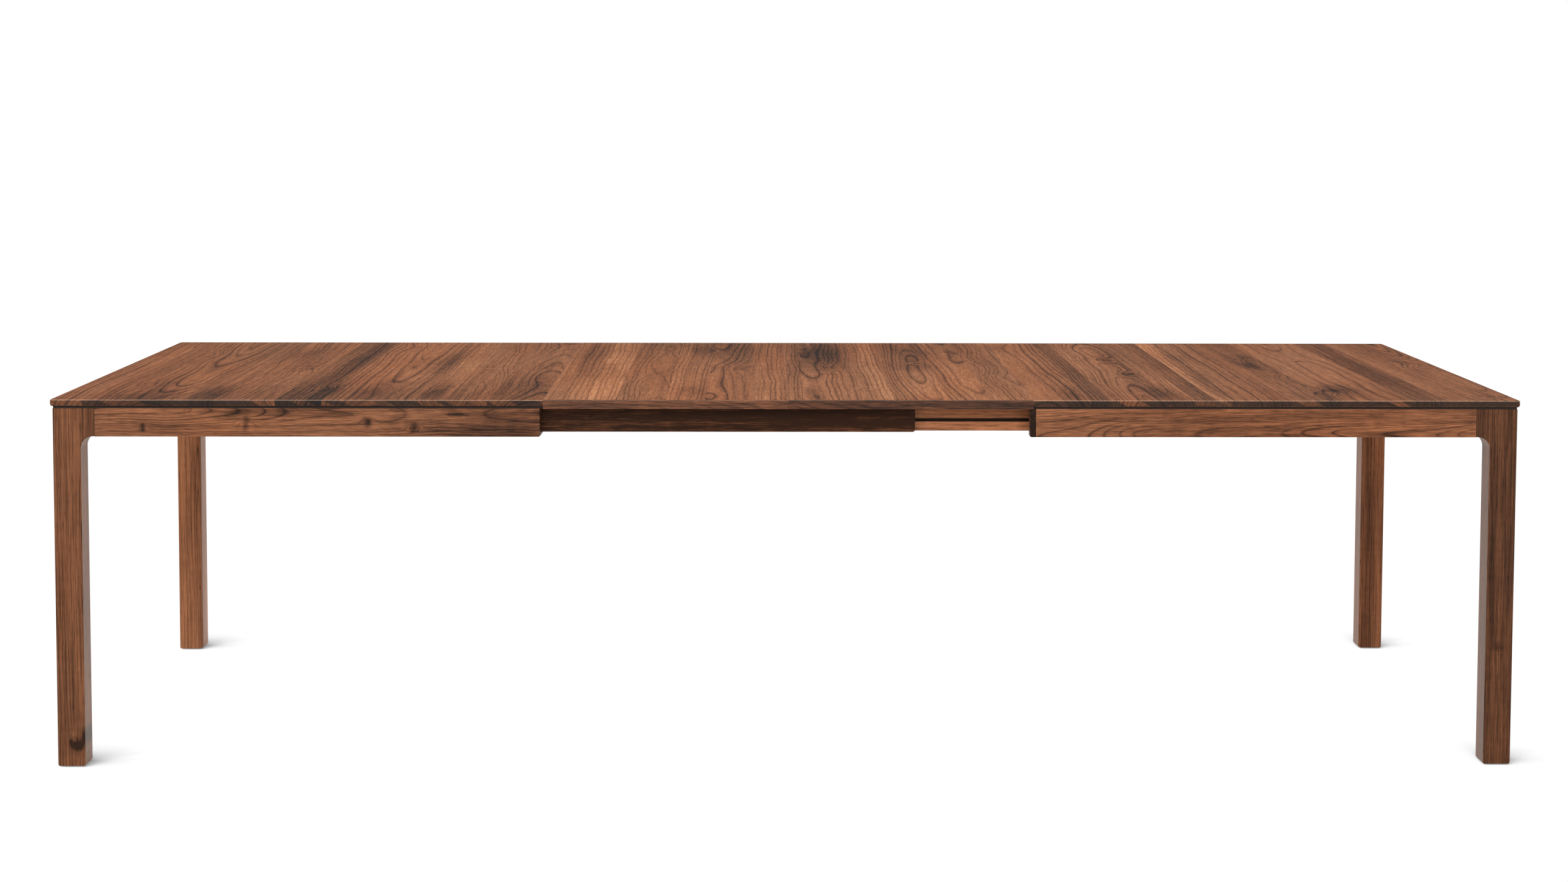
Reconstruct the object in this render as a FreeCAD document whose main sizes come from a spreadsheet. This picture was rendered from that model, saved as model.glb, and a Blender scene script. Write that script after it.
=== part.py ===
import FreeCAD, Part
import os
import re

import Sketcher
from FreeCAD import Placement, Rotation, Vector

# An extendable dining table, shown fully open with its two leaves in.
# X runs along the table, -Y is the front, +Z is up, and the origin is on the floor
# under the middle of the top. Every length is in millimetres.

DIMENSIONS = {
    # the whole table, open
    "table_length": 3000,
    "table_depth": 1000,
    "table_height": 760,
    "leaf_length": 500,
    # tops and leaves
    "top_thickness": 18,
    "rebate_height": 4,
    "rebate_depth": 6.3,
    "top_corner_radius": 8,
    "top_arris_radius": 2.6,
    "top_under_radius": 5,
    "joint_arris": 0.5,
    "leaf_arris": 0.9,
    "band_width": 6,
    # legs
    "leg_inset": 4.75,
    "leg_width": 56,
    "block_reach": 28,
    "cove_radius": 25,
    "leg_arris": 3.2,
    "foot_radius": 5,
    "leg_inner_radius": 9,
    "leg_top_arris": 0.8,
    "foot_gap": 2,
    "glide_radius": 14,
    "glide_height": 6,
    "glide_recess_radius": 14.2,
    # aprons and their joints
    "apron_height": 58,
    "apron_thickness": 22,
    "apron_arris": 0.9,
    "apron_corner_radius": 2.5,
    "shoulder_gap": 1.2,
    "tenon_length": 20,
    "tenon_height": 36,
    "tenon_thickness": 8,
    # cross rails
    "cross_rail_thickness": 12,
    "cross_rail_overlap": 6,
    "closing_gap": 1,
    "housing_depth": 5,
    "notch_clearance": 0.5,
    "bridge_thickness": 3,
    "outer_rail_thickness": 18,
    "outer_rail_setback": 160,
    # runners and rails of the slide
    "runner_thickness": 20,
    "runner_relief": 1,
    "runner_height": 50.7,
    "runner_reach": 260,
    "runner_corner_radius": 5,
    "rail_thickness": 24,
    "rail_height": 51.7,
    "rail_reach": 300,
    "rail_bottom_radius": 3.5,
    "slide_gap": 0.5,
    "slide_top_gap": 0.3,
    "groove_height": 4,
    "groove_depth": 8,
    "groove_level": 19.5,
    "groove_lip_radius": 7,
    "tongue_height": 3.4,
    "tongue_embed": 3,
    "tongue_reach": 5,
    "tongue_length": 505,
    "tongue_setback": 10,
    "stop_length": 20,
    # corner braces and their bolts
    "brace_thickness": 20,
    "brace_height": 46,
    "brace_level": 6,
    "bolt_radius": 4,
    "bolt_length": 84,
    "bolt_start": 52,
    "bolt_low": 17,
    "bolt_high": 41,
    "nut_radius": 7.5,
    "nut_height": 6.5,
    # dowels
    "dowel_radius": 4,
    "dowel_length": 40,
    "dowel_reach": 14,
    "socket_radius": 4.4,
    "socket_depth": 15,
    "dowel_pitch": 280,
    "small_dowel_radius": 3,
    "small_dowel_length": 36,
    "small_dowel_reach": 8,
    "small_dowel_low": 15,
    "small_dowel_high": 43,
    # brackets and screws
    "bracket_width": 30,
    "bracket_arm": 25,
    "bracket_plate": 2,
    "bracket_hole_setback": 15,
    "end_bracket_pitch": 250,
    "rail_bracket_pitch": 220,
    "rail_bracket_level": 14,
    "screw_radius": 1.9,
    "screw_head_radius": 3.6,
    "screw_head_height": 1.8,
    "top_screw_length": 14,
    "rail_screw_length": 10,
    "apron_screw_length": 34,
    "apron_screw_sink": 0.6,
    "apron_screw_first": 60,
    "apron_screw_pitch": 230,
    "apron_screw_level": 31,
    "end_screw_length": 58,
    "end_screw_low": 10,
    "end_screw_high": 40,
    "drill_clearance": 0.1,
}

SHEET_NAME = "Dimensions"
ALIAS = re.compile(r"[a-z]\w+\b(?!\()")
EPSILON = 0.01
LEAST_CUT = 1
APRON_SCREWS = 4

doc = FreeCAD.newDocument("extendable_dining_table")
sheet = doc.addObject("Spreadsheet::Sheet", SHEET_NAME)
for row, (alias, number) in enumerate(DIMENSIONS.items(), start=1):
    sheet.set(f"A{row}", alias.replace("_", " "))
    sheet.set(f"B{row}", str(number))
    sheet.setAlias(f"B{row}", alias)
doc.recompute()

nodes = {}

# Levels and faces that several pieces share, as formulas of the sheet's aliases.
TOP_UNDERSIDE = "(table_height - top_thickness)"
APRON_BOTTOM = f"({TOP_UNDERSIDE} - apron_height)"
LEG_FACE_X = "(table_length / 2 - leg_inset)"
LEG_FACE_Y = "(table_depth / 2 - leg_inset)"
APRON_END = f"({LEG_FACE_X} - leg_width - block_reach - shoulder_gap)"
APRON_END_Y = f"({LEG_FACE_Y} - leg_width - block_reach - shoulder_gap)"
APRON_INNER_X = f"({LEG_FACE_X} - apron_thickness)"
APRON_INNER_Y = f"({LEG_FACE_Y} - apron_thickness)"
LEFT_INNER_END = "(leaf_length + closing_gap + cross_rail_overlap)"
RIGHT_RAIL_START = "(leaf_length - cross_rail_overlap)"
RIGHT_INNER_END = f"({RIGHT_RAIL_START} + cross_rail_thickness)"
OUTER_RAIL_FAR = "(table_length / 2 - outer_rail_setback)"
OUTER_RAIL_NEAR = f"({OUTER_RAIL_FAR} - outer_rail_thickness)"
RUNNER_BACK = f"({APRON_INNER_Y} - runner_relief - runner_thickness)"
RAIL_FRONT = f"({RUNNER_BACK} - slide_gap)"
RAIL_BACK = f"({RAIL_FRONT} - rail_thickness)"
SLIDE_TOP = f"({TOP_UNDERSIDE} - slide_top_gap)"
RUNNER_BOTTOM = f"({SLIDE_TOP} - runner_height)"
RAIL_BOTTOM = f"({SLIDE_TOP} - rail_height)"
TOP_MIDDLE = "(table_height - top_thickness / 2)"

POINTING = {
    "+X": Rotation(Vector(0, 1, 0), 90),
    "-X": Rotation(Vector(0, 1, 0), -90),
    "+Y": Rotation(Vector(1, 0, 0), -90),
    "-Y": Rotation(Vector(1, 0, 0), 90),
    "+Z": Rotation(),
}


def bind(thing, prop, formula):
    """Tie one property to a formula of the sheet's aliases."""
    thing.setExpression(prop, ALIAS.sub(lambda word: f"{SHEET_NAME}.{word.group()}", formula))


def place(thing, corner, rotation=None):
    """Turn a piece, then tie its position to three formulas."""
    thing.Placement = Placement(Vector(), rotation or Rotation())
    for axis, formula in zip("xyz", corner):
        bind(thing, f"Placement.Base.{axis}", formula)


def keep(thing, label):
    """Give a finished piece its label, which names its node."""
    thing.Label = label
    nodes[label] = thing
    return thing


def mirrored(source, label, normal):
    """The same piece on the other side of the table."""
    twin = doc.addObject("Part::Mirroring", label)
    twin.Source = source
    twin.Normal = normal
    return keep(twin, label)


# ---- pieces cut from wood: a body, pads and pockets of rectangles, rounded edges ----


def new_body(label, corner):
    body = doc.addObject("PartDesign::Body", label + "_body")
    place(body, corner)
    return body


def rectangle(body, name, corner, length, width):
    """A sketch parallel to the body's XY plane: one rectangle that starts at a corner."""
    sketch = body.newObject("Sketcher::SketchObject", name)
    plane = next(item for item in body.Origin.OriginFeatures if item.Role == "XY_Plane")
    sketch.AttachmentSupport = (plane, [""])
    sketch.MapMode = "FlatFace"
    for axis, formula in zip("xyz", corner):
        bind(sketch, f"AttachmentOffset.Base.{axis}", formula)
    corners = [Vector(0, 0, 0), Vector(10, 0, 0), Vector(10, 10, 0), Vector(0, 10, 0)]
    for start, end in zip(corners, corners[1:] + corners[:1]):
        sketch.addGeometry(Part.LineSegment(start, end))
    for side in range(4):
        sketch.addConstraint(Sketcher.Constraint("Coincident", side, 2, (side + 1) % 4, 1))
        sketch.addConstraint(Sketcher.Constraint(("Horizontal", "Vertical")[side % 2], side))
    sketch.addConstraint(Sketcher.Constraint("Coincident", 0, 1, -1, 1))
    for kind, side, title, formula in (("DistanceX", 0, "span", length), ("DistanceY", 1, "rise", width)):
        index = sketch.addConstraint(Sketcher.Constraint(kind, side, 1, side, 2, 10))
        sketch.renameConstraint(index, title)
        bind(sketch, f"Constraints.{title}", formula)
    return sketch


def add_block(body, name, corner, size):
    """Wood from one corner, over a length, a width and a height."""
    length, width, height = size
    pad = body.newObject("PartDesign::Pad", name)
    pad.Profile = rectangle(body, name + "_sketch", corner, length, width)
    bind(pad, "Length", height)
    doc.recompute()
    return pad


def cut_block(body, name, corner, size):
    """A rectangular hollow, cut downwards from the top of its height."""
    length, width, height = size
    low_x, low_y, low_z = corner
    before = body.Shape.Volume
    pocket = body.newObject("PartDesign::Pocket", name)
    pocket.Profile = rectangle(body, name + "_sketch", (low_x, low_y, f"{low_z} + {height}"), length, width)
    bind(pocket, "Length", height)
    doc.recompute()
    if body.Shape.Volume > before - LEAST_CUT:
        raise RuntimeError(f"{name} cuts nothing from {body.Label}")
    return pocket


def edges(feature, chosen):
    return [f"Edge{count}" for count, edge in enumerate(feature.Shape.Edges, start=1) if chosen(edge)]


def round_edges(body, name, chosen, radius):
    """Round the edges of the body that a test picks."""
    feature = body.Tip
    fillet = body.newObject("PartDesign::Fillet", name)
    fillet.Base = (feature, edges(feature, chosen))
    bind(fillet, "Radius", radius)
    doc.recompute()
    return fillet


def bevel_edges(body, name, chosen, size):
    """Bevel the edges of the body that a test picks, at 45 degrees."""
    feature = body.Tip
    chamfer = body.newObject("PartDesign::Chamfer", name)
    chamfer.Base = (feature, edges(feature, chosen))
    bind(chamfer, "Size", size)
    doc.recompute()
    return chamfer


def runs_along(edge, axis):
    """Whether an edge is a straight line along X, Y or Z."""
    box = edge.BoundBox
    spans = {"x": box.XLength, "y": box.YLength, "z": box.ZLength}
    return spans.pop(axis) > EPSILON and max(spans.values()) < EPSILON


def lies_at(edge, **places):
    """Whether an edge's middle is at the places named, such as x=0."""
    centre = edge.CenterOfMass
    return all(abs(getattr(centre, axis) - place) < EPSILON for axis, place in places.items())


# ---- fasteners: one master of each, and a group of linked copies ----


def cylinder(name, radius, height):
    rod = doc.addObject("Part::Cylinder", name)
    bind(rod, "Radius", radius)
    bind(rod, "Height", height)
    return rod


def group(name, master, places):
    """Copies of a master, each at (corner formulas, rotation), as separate solids of one group."""
    copies = []
    for count, (corner, rotation) in enumerate(places, start=1):
        copy = doc.addObject("App::Link", f"{name}_{count}")
        copy.LinkedObject = master
        place(copy, corner, rotation)
        copies.append(copy)
    compound = doc.addObject("Part::Compound", name)
    compound.Links = copies
    return compound


def drilled(wood, name, master, places):
    """A piece of wood with a hole wherever a copy of the drill stands."""
    cut = doc.addObject("Part::Cut", name)
    cut.Base = wood
    cut.Tool = group(name + "_drill", master, places)
    doc.recompute()
    if cut.Shape.Volume > wood.Shape.Volume - LEAST_CUT:
        raise RuntimeError(f"{name} drills nothing")
    return cut


def screw_master(name, length):
    """A screw that points along +Z: its head sits below the origin, its shank above."""
    shank = cylinder(name + "_shank", "screw_radius", length)
    head = cylinder(name + "_head", "screw_head_radius", "screw_head_height")
    bind(head, "Placement.Base.z", "-screw_head_height")
    screw = doc.addObject("Part::MultiFuse", name)
    screw.Shapes = [shank, head]
    return screw


def drill_master(name, length):
    return cylinder(name, "screw_radius + drill_clearance", f"{length} + drill_clearance")


def sunk_drill_master(name, length):
    """A drill with a wider step for a head that lies under the surface."""
    shank = cylinder(name + "_shank", "screw_radius + drill_clearance", f"{length} + drill_clearance")
    head = cylinder(name + "_head", "screw_head_radius + drill_clearance * 4", "screw_head_height * 2")
    bind(head, "Placement.Base.z", "-screw_head_height * 2")
    drill = doc.addObject("Part::MultiFuse", name)
    drill.Shapes = [shank, head]
    return drill


def on_side(side, near, far):
    """The lower X of a piece between two distances from the middle, on either side."""
    return near if side == "right" else f"-{far}"


def signed(side, formula):
    return formula if side == "right" else f"-{formula}"


def inward(side):
    """The way from the end of the table towards its middle."""
    return "-X" if side == "right" else "+X"


def outward(side):
    return "+X" if side == "right" else "-X"


# ---- legs ----


def leg_shape():
    """The front left leg: a post, with a block on top that reaches towards both aprons."""
    width = DIMENSIONS["leg_width"]
    whole = width + DIMENSIONS["block_reach"]
    corner = (f"-{LEG_FACE_X}", f"-{LEG_FACE_Y}", "foot_gap")
    body = new_body("left_front_leg", corner)
    post_height = f"{APRON_BOTTOM} - foot_gap"
    add_block(body, "post", ("0", "0", "0"), ("leg_width", "leg_width", post_height))
    round_edges(body, "post_inner_edge", lambda e: lies_at(e, x=width, y=width), "leg_inner_radius")
    add_block(
        body,
        "block",
        ("0", "0", post_height),
        ("leg_width + block_reach", "leg_width + block_reach", "apron_height"),
    )
    bevel_edges(body, "block_bevel", lambda e: lies_at(e, x=whole, y=whole), "block_reach")
    under = body.Shape.BoundBox.ZMax - DIMENSIONS["foot_gap"] - DIMENSIONS["apron_height"]

    def in_cove(edge):
        centre = edge.CenterOfMass
        inside = width - DIMENSIONS["leg_inner_radius"]
        on_post = max(centre.x, centre.y) > inside and max(centre.x, centre.y) < width + EPSILON
        return abs(centre.z - under) < EPSILON and on_post

    round_edges(body, "cove", in_cove, "cove_radius")
    round_edges(body, "foot_edge", lambda e: e.BoundBox.ZMax < EPSILON, "foot_radius")
    round_edges(
        body,
        "outer_edges",
        lambda e: runs_along(e, "z")
        and (lies_at(e, x=0, y=0) or lies_at(e, x=width, y=0) or lies_at(e, x=0, y=width)),
        "leg_arris",
    )
    top = body.Tip.Shape.BoundBox.ZMax
    bevel_edges(body, "top_edge", lambda e: e.BoundBox.ZMin > top - EPSILON, "leg_top_arris")
    tenon_level = f"{post_height} + (apron_height - tenon_height) / 2"
    tenon_side = "(apron_thickness - tenon_thickness) / 2"
    mortise_start = "leg_width + block_reach - tenon_length"
    cut_block(
        body,
        "front_mortise",
        (mortise_start, tenon_side, tenon_level),
        ("tenon_length", "tenon_thickness", "tenon_height"),
    )
    cut_block(
        body,
        "end_mortise",
        (tenon_side, mortise_start, tenon_level),
        ("tenon_thickness", "tenon_length", "tenon_height"),
    )
    return body


def corner_point(distance, level):
    """A point on the diagonal of the front left corner, at a distance from the leg's outer corner."""
    return (f"-{LEG_FACE_X} + {distance} / sqrt(2)", f"-{LEG_FACE_Y} + {distance} / sqrt(2)", level)


BLOCK_FACE = "((2 * leg_width + block_reach) / sqrt(2))"
BOLT_WAY = Rotation(Vector(0, 0, 1), 45).multiply(Rotation(Vector(0, 1, 0), 90))


def bolt_places(start):
    levels = (f"{APRON_BOTTOM} + bolt_low", f"{APRON_BOTTOM} + bolt_high")
    return [(corner_point(start, level), BOLT_WAY) for level in levels]


def make_corners():
    """Legs, glides, corner braces, hanger bolts and nuts: the front left corner, mirrored to the others."""
    bolt_drill = cylinder("bolt_drill", "bolt_radius + drill_clearance", "bolt_length")
    leg = drilled(leg_shape(), "leg_bolt_holes", bolt_drill, bolt_places("bolt_start"))
    recess = cylinder("glide_recess", "glide_recess_radius", "glide_height + drill_clearance")
    centre = (f"-{LEG_FACE_X} + leg_width / 2", f"-{LEG_FACE_Y} + leg_width / 2", "0")
    leg = keep(drilled(leg, "leg_glide_hole", recess, [(centre, None)]), "left_front_leg")

    bar = new_body("left_front_brace", ("0", "0", "0"))
    mitre = "(brace_thickness - joint_arris)"
    half_bar = f"({BLOCK_FACE} + {mitre} - apron_thickness * sqrt(2))"
    place(bar, corner_point(BLOCK_FACE, f"{APRON_BOTTOM} + brace_level"), Rotation(Vector(0, 0, 1), 45))
    add_block(bar, "bar", ("0", f"-{half_bar}", "0"), ("brace_thickness", f"2 * {half_bar}", "brace_height"))
    bevel_edges(bar, "mitres", lambda e: runs_along(e, "z") and lies_at(e, x=0), mitre)
    brace = drilled(bar, "brace_bolt_holes", bolt_drill, bolt_places("bolt_start"))
    keep(brace, "left_front_corner_brace")

    bolt = cylinder("bolt_master", "bolt_radius", "bolt_length")
    nut_blank = doc.addObject("Part::Prism", "nut_blank")
    nut_blank.Polygon = 6
    bind(nut_blank, "Circumradius", "nut_radius")
    bind(nut_blank, "Height", "nut_height")
    nut = doc.addObject("Part::Cut", "nut_master")
    nut.Base = nut_blank
    nut.Tool = cylinder("nut_bore", "bolt_radius + drill_clearance", "nut_height")
    bolts = group("front_left_bolts", bolt, bolt_places("bolt_start"))
    nuts = group("front_left_nuts", nut, bolt_places(f"({BLOCK_FACE} + brace_thickness)"))
    glide = cylinder("glide_master", "glide_radius", "glide_height")
    place(glide, centre)

    across_x, across_y = Vector(1, 0, 0), Vector(0, 1, 0)
    for piece, title in ((leg, "leg"), (brace, "corner_brace")):
        back = mirrored(piece, f"left_back_{title}", across_y)
        mirrored(piece, f"right_front_{title}", across_x)
        mirrored(back, f"right_back_{title}", across_x)
    for piece, title in ((bolts, "hanger_bolts"), (nuts, "hanger_nuts"), (glide, "foot_glides")):
        back = doc.addObject("Part::Mirroring", f"back_{title}")
        back.Source = piece
        back.Normal = across_y
        left = doc.addObject("Part::Compound", f"left_{title}")
        left.Links = [piece, back]
        mirrored(keep(left, f"left_{title}"), f"right_{title}", across_x)


# ---- aprons and cross rails ----


def finish_apron(body, label, drills):
    """Round an apron's long edges, then drill it."""
    box = body.Tip.Shape.BoundBox
    round_edges(
        body,
        "long_edges",
        lambda e: runs_along(e, "x") and e.Length > DIMENSIONS["tenon_length"] * 2
        and abs(e.CenterOfMass.z - box.Center.z) > DIMENSIONS["tenon_height"] / 2 + EPSILON,
        "apron_arris",
    )
    wood = body
    for count, (drill, places) in enumerate(drills, start=1):
        wood = drilled(wood, f"{label}_holes_{count}", drill, places)
    return keep(wood, label)


def tenon_box(start):
    side = "(apron_thickness - tenon_thickness) / 2"
    level = "(apron_height - tenon_height) / 2"
    return (start, side, level), ("tenon_length - shoulder_gap", "tenon_thickness", "tenon_height")


def shoulder_box(start):
    """The thin part of a tenon that shows in the shadow gap beside the leg."""
    side = "(apron_thickness - tenon_thickness) / 2"
    level = "(apron_height - tenon_height) / 2"
    return (start, side, level), ("shoulder_gap", "tenon_thickness", "tenon_height")


def apron_screw_places():
    """Screws through the front runner into the left apron; the heads lie under the runner's back face."""
    places = []
    depth = f"-{RUNNER_BACK} - apron_screw_sink - screw_head_height"
    level = f"{APRON_BOTTOM} + apron_screw_level"
    for count in range(APRON_SCREWS):
        along = f"-{LEFT_INNER_END} - apron_screw_first - {count} * apron_screw_pitch"
        places.append(((along, depth, level), POINTING["-Y"]))
    return places


def small_dowel_places(start):
    """Dowels between the right cross rail and the front apron."""
    middle = f"-{LEG_FACE_Y} + apron_thickness / 2"
    levels = (f"{APRON_BOTTOM} + small_dowel_low", f"{APRON_BOTTOM} + small_dowel_high")
    return [((start, middle, level), POINTING["+X"]) for level in levels]


def make_aprons():
    apron_screw = screw_master("apron_screw", "apron_screw_length")
    apron_drill = sunk_drill_master("apron_screw_drill", "apron_screw_length")
    bracket_drill = drill_master("bracket_screw_drill", "top_screw_length")
    dowel_start = f"{RIGHT_INNER_END} - small_dowel_reach"
    small_dowel = cylinder("small_dowel_master", "small_dowel_radius", "small_dowel_length")
    small_drill = cylinder("small_dowel_drill", "small_dowel_radius + drill_clearance", "small_dowel_length")
    across_x, across_y = Vector(1, 0, 0), Vector(0, 1, 0)

    length = f"({APRON_END} - {LEFT_INNER_END})"
    body = new_body("left_front_apron", (f"-{APRON_END}", f"-{LEG_FACE_Y}", APRON_BOTTOM))
    add_block(body, "board", ("0", "0", "0"), (length, "apron_thickness", "apron_height"))
    low_end = body.Tip.Shape.BoundBox.XMax
    round_edges(
        body,
        "end_corner",
        lambda e: runs_along(e, "y") and lies_at(e, x=low_end, z=0),
        "apron_corner_radius",
    )
    for title, box in (("tenon", tenon_box("-tenon_length")), ("shoulder", shoulder_box("-shoulder_gap"))):
        add_block(body, title, *box)
    housing_y = "apron_thickness - housing_depth"
    cut_block(
        body,
        "inner_housing",
        (f"{length} - cross_rail_thickness", housing_y, "0"),
        ("cross_rail_thickness", "housing_depth", "apron_height"),
    )
    outer_housing = ("outer_rail_thickness", "housing_depth", "apron_height")
    cut_block(body, "outer_housing", (f"{APRON_END} - {OUTER_RAIL_FAR}", housing_y, "0"), outer_housing)
    left = finish_apron(body, "left_front_apron", [(apron_drill, apron_screw_places())])
    mirrored(left, "left_back_apron", across_y)

    length = f"({APRON_END} - {RIGHT_INNER_END})"
    body = new_body("right_front_apron", (RIGHT_INNER_END, f"-{LEG_FACE_Y}", APRON_BOTTOM))
    add_block(body, "board", ("0", "0", "0"), (length, "apron_thickness", "apron_height"))
    for title, box in (
        ("tenon", tenon_box(f"{length} + shoulder_gap")),
        ("shoulder", shoulder_box(length)),
    ):
        add_block(body, title, *box)
    housing_x = f"{OUTER_RAIL_NEAR} - {RIGHT_INNER_END}"
    cut_block(body, "outer_housing", (housing_x, housing_y, "0"), outer_housing)
    right = finish_apron(body, "right_front_apron", [(small_drill, small_dowel_places(dowel_start))])
    mirrored(right, "right_back_apron", across_y)

    body = new_body("left_end_apron", ("0", "0", "0"))
    place(body, (f"-{APRON_INNER_X}", f"-{APRON_END_Y}", APRON_BOTTOM), Rotation(Vector(0, 0, 1), 90))
    length = f"(2 * {APRON_END_Y})"
    add_block(body, "board", ("0", "0", "0"), (length, "apron_thickness", "apron_height"))
    for title, box in (
        ("near_tenon", tenon_box("-tenon_length")),
        ("near_shoulder", shoulder_box("-shoulder_gap")),
        ("far_tenon", tenon_box(f"{length} + shoulder_gap")),
        ("far_shoulder", shoulder_box(length)),
    ):
        add_block(body, title, *box)
    holes = [place for place in bracket_places("left", "side_screws") if place[1] == POINTING["-X"]]
    left = finish_apron(body, "left_end_apron", [(bracket_drill, holes)])
    mirrored(left, "right_end_apron", across_x)

    front = group("front_runner_screws", apron_screw, apron_screw_places())
    pair_front_and_back(front, "runner_screws")
    front = group("front_apron_dowels", small_dowel, small_dowel_places(dowel_start))
    pair_front_and_back(front, "apron_dowels")
    return apron_drill, small_drill, bracket_drill


def pair_front_and_back(front, label):
    """One node of fasteners: the front ones and their mirror images at the back."""
    back = doc.addObject("Part::Mirroring", f"{label}_back")
    back.Source = front
    back.Normal = Vector(0, 1, 0)
    pair = doc.addObject("Part::Compound", label)
    pair.Links = [front, back]
    return keep(pair, label)


def make_cross_rails(small_drill, end_drill):
    """Rails across each half: a thin one at the joint, notched over the slides, and one near the legs.

    Under the right one's left face the wood is cut back, so that only its ends reach down beside the aprons.
    """
    reach = f"({APRON_INNER_Y} + housing_depth)"
    size = ("cross_rail_thickness", f"2 * {reach}", "apron_height")
    low_x = f"-({LEFT_INNER_END} + cross_rail_thickness)"
    body = new_body("left_inner_cross_rail", (low_x, f"-{reach}", APRON_BOTTOM))
    add_block(body, "rail", ("0", "0", "0"), size)
    floor = f"({RAIL_BOTTOM} - {APRON_BOTTOM} - notch_clearance)"
    notch_width = f"({APRON_INNER_Y} - {RAIL_BACK} + notch_clearance)"
    notch = ("cross_rail_thickness", notch_width, f"apron_height - {floor}")
    cut_block(body, "front_notch", ("0", "housing_depth", floor), notch)
    cut_block(body, "back_notch", ("0", f"2 * {reach} - housing_depth - {notch_width}", floor), notch)
    holes = [place for place in bracket_places("left", "side_screws") if place[1] == POINTING["+X"]]
    drill = drill_master("cross_rail_screw_drill", "rail_screw_length")
    keep(drilled(body, "left_inner_cross_rail_holes", drill, holes), "left_inner_cross_rail")

    size = ("cross_rail_thickness", f"2 * {LEG_FACE_Y}", "apron_height")
    body = new_body("right_inner_cross_rail", (RIGHT_RAIL_START, f"-{LEG_FACE_Y}", APRON_BOTTOM))
    add_block(body, "rail", ("0", "0", "0"), size)
    round_edges(
        body,
        "low_edge",
        lambda e: runs_along(e, "y") and lies_at(e, x=0, z=0),
        "apron_corner_radius",
    )
    floor = f"({RAIL_BOTTOM} - {APRON_BOTTOM})"
    notch_width = f"({APRON_INNER_Y} - {RAIL_BACK})"
    notch = ("cross_rail_thickness", notch_width, f"apron_height - {floor}")
    cut_block(body, "front_notch", ("0", "apron_thickness", floor), notch)
    cut_block(body, "back_notch", ("0", f"2 * {LEG_FACE_Y} - apron_thickness - {notch_width}", floor), notch)
    cut_block(
        body,
        "underside_relief",
        ("0", "apron_thickness", "0"),
        ("cross_rail_thickness - bridge_thickness", f"2 * {APRON_INNER_Y}", floor),
    )
    holes = [place for place in bracket_places("right", "side_screws") if place[1] == POINTING["-X"]]
    holes += rail_bracket_screws("-X")
    wood = drilled(body, "right_inner_cross_rail_screw_holes", drill, holes)
    dowels = both_sides(small_dowel_places(f"{RIGHT_INNER_END} - small_dowel_reach"))
    wood = drilled(wood, "right_inner_cross_rail_dowel_holes", small_drill, dowels)
    keep(wood, "right_inner_cross_rail")

    size = ("outer_rail_thickness", f"2 * {reach}", "apron_height")
    for side in ("left", "right"):
        corner = (on_side(side, OUTER_RAIL_NEAR, OUTER_RAIL_FAR), f"-{reach}", APRON_BOTTOM)
        body = new_body(f"{side}_outer_cross_rail", corner)
        add_block(body, "rail", ("0", "0", "0"), size)
        wood = body
        if side == "right":
            wood = drilled(body, "right_outer_cross_rail_holes", end_drill, both_sides(end_screw_places()))
        keep(wood, f"{side}_outer_cross_rail")


def both_sides(places):
    """Places along X on the front side, and the same ones at the back."""
    back = []
    for (along, depth, level), rotation in places:
        back.append(((along, f"-({depth})", level), rotation))
    return places + back


# ---- slides: dark runners on the left half, grooved rails on the right half ----


def make_runner(apron_drill):
    """A runner: thick where it lies against its apron, thinner where the other half slides past it."""
    fixed = f"({OUTER_RAIL_NEAR} - {LEFT_INNER_END})"
    sliding = f"({LEFT_INNER_END} + runner_reach)"
    body = new_body("front_runner", (f"-{OUTER_RAIL_NEAR}", f"-{APRON_INNER_Y}", RUNNER_BOTTOM))
    whole = "runner_thickness + runner_relief"
    add_block(body, "fixed_part", ("0", "0", "0"), (fixed, whole, "runner_height"))
    sliding_size = (sliding, "runner_thickness", "runner_height")
    add_block(body, "sliding_part", (fixed, "runner_relief", "0"), sliding_size)
    far_end = body.Tip.Shape.BoundBox.XMax
    round_edges(
        body,
        "end_corner",
        lambda e: runs_along(e, "y") and lies_at(e, x=far_end, z=0),
        "runner_corner_radius",
    )
    tongue_from = f"{fixed} + {sliding} - tongue_setback - tongue_length"
    tongue_level = f"({RAIL_BOTTOM} - {RUNNER_BOTTOM} + groove_level + (groove_height - tongue_height) / 2)"
    cut_block(
        body,
        "tongue_seat",
        (tongue_from, f"{whole} - tongue_embed", tongue_level),
        ("tongue_length", "tongue_embed", "tongue_height"),
    )
    runner = keep(drilled(body, "front_runner_holes", apron_drill, apron_screw_places()), "front_runner")
    mirrored(runner, "back_runner", Vector(0, 1, 0))

    tongue = new_body("front_runner_tongue", (
        "runner_reach - tongue_setback - tongue_length",
        f"-{RUNNER_BACK} - tongue_embed",
        f"{RUNNER_BOTTOM} + {tongue_level}",
    ))
    add_block(
        tongue,
        "strip",
        ("0", "0", "0"),
        ("tongue_length", "tongue_embed + slide_gap + tongue_reach", "tongue_height"),
    )
    mirrored(keep(tongue, "front_runner_tongue"), "back_runner_tongue", Vector(0, 1, 0))


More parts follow.
